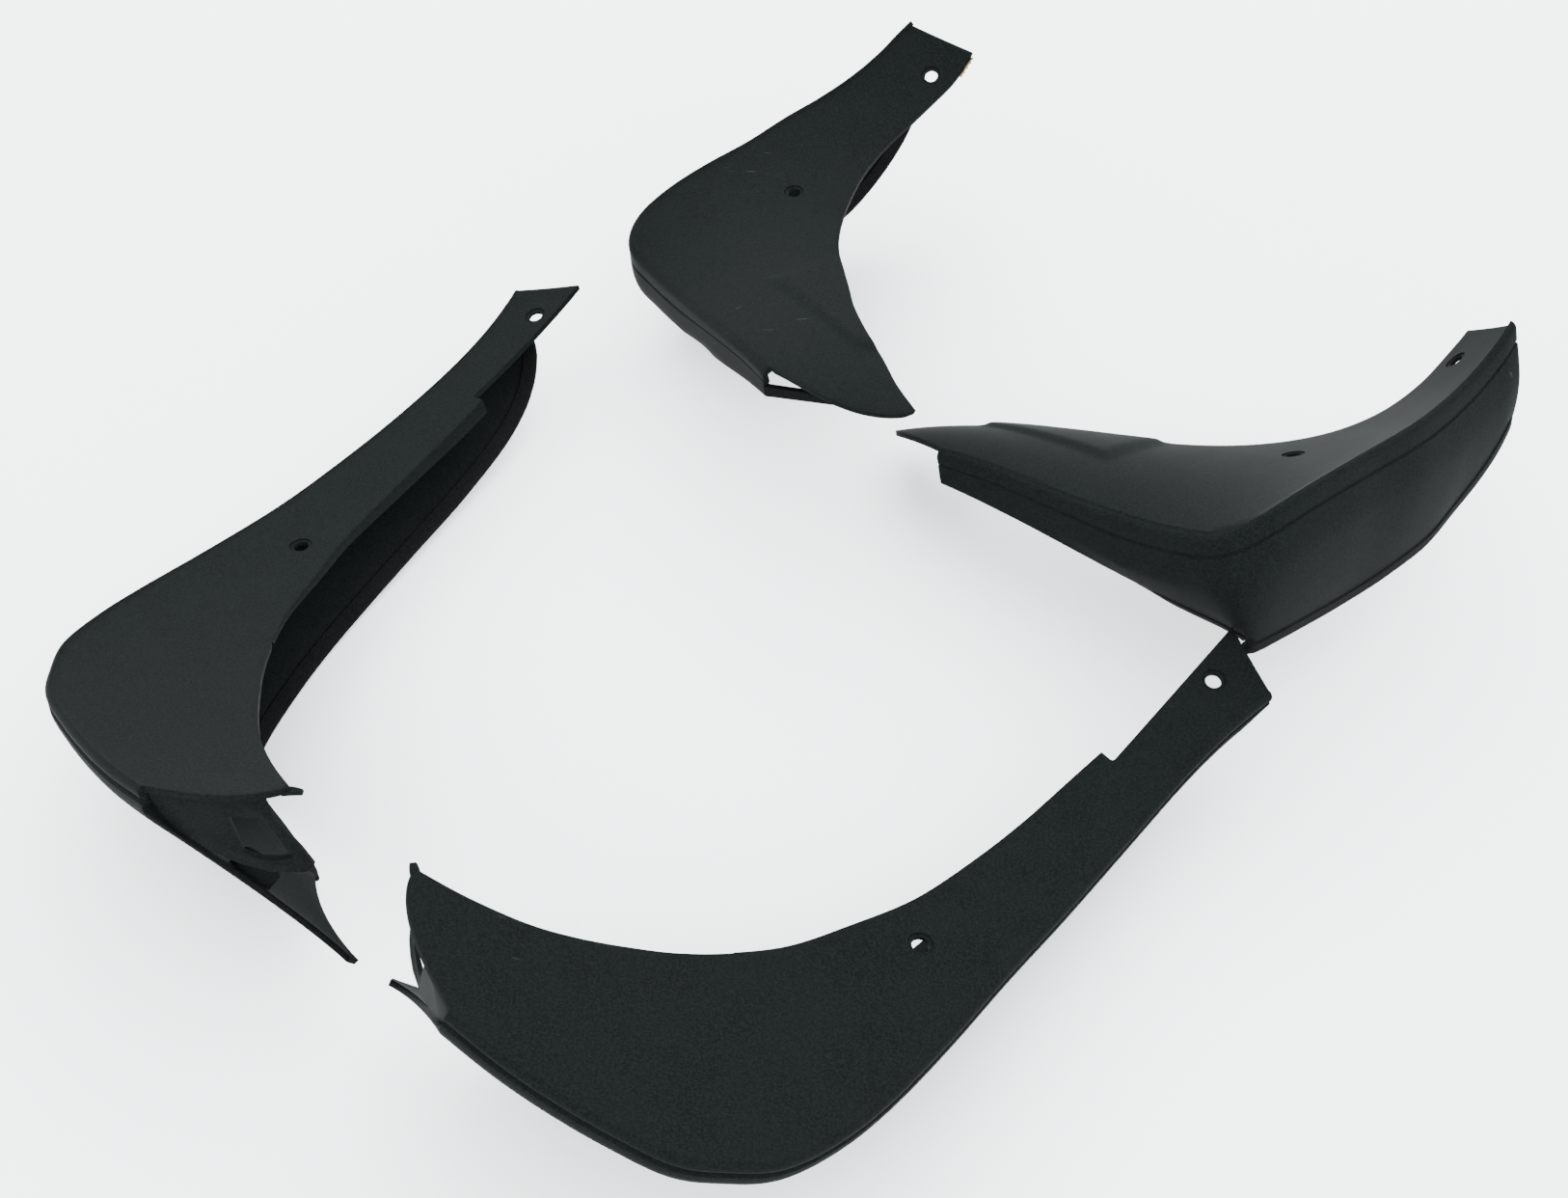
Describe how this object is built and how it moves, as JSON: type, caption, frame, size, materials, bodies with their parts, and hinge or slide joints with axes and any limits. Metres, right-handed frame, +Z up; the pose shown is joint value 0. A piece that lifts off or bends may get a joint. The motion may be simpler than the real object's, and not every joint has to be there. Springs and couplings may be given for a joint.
{
  "type": "mud flap set",
  "caption": "Set of moulded vehicle mud flaps: slim crescent arch flaps and broad sill flaps, each a dished face with a deep skin, rubber edge seal and screw holes.",
  "frame": {"origin": "middle of the set's footprint, on the floor the flaps lie on", "axes": "+Z up; +Y away from the viewer of the laid-out set; +X to that viewer's right"},
  "size_m": [0.7422, 0.7306, 0.1318],
  "materials": {
    "moulded_plastic": "fine matt grain",
    "edge_rubber": "matt",
    "spring_steel": "dull brownish spring steel"
  },
  "bodies": {
    "arch_left": {"arch_left_shell": "moulded_plastic", "arch_left_edge_seal": "edge_rubber", "arch_left_end_web": "moulded_plastic", "arch_left_end_tab": "moulded_plastic"},
    "arch_right": {"arch_right_shell": "moulded_plastic", "arch_right_edge_seal": "edge_rubber", "arch_right_end_web": "moulded_plastic", "arch_right_end_tab": "moulded_plastic"},
    "sill_left": {"sill_left_shell": "moulded_plastic", "sill_left_edge_seal": "edge_rubber", "sill_left_spring_clip": "spring_steel"},
    "sill_right": {"sill_right_shell": "moulded_plastic", "sill_right_edge_seal": "edge_rubber", "sill_right_spring_clip": "spring_steel"}
  },
  "joints": [
    {"name": "arch_left_lift", "type": "slide", "parent": "arch_right", "child": "arch_left", "axis": [0, 0, 1], "range_m": [0, 0.15]},
    {"name": "sill_left_lift", "type": "slide", "parent": "arch_right", "child": "sill_left", "axis": [0, 0, 1], "range_m": [0, 0.15]},
    {"name": "sill_right_lift", "type": "slide", "parent": "arch_right", "child": "sill_right", "axis": [0, 0, 1], "range_m": [0, 0.15]}
  ]
}
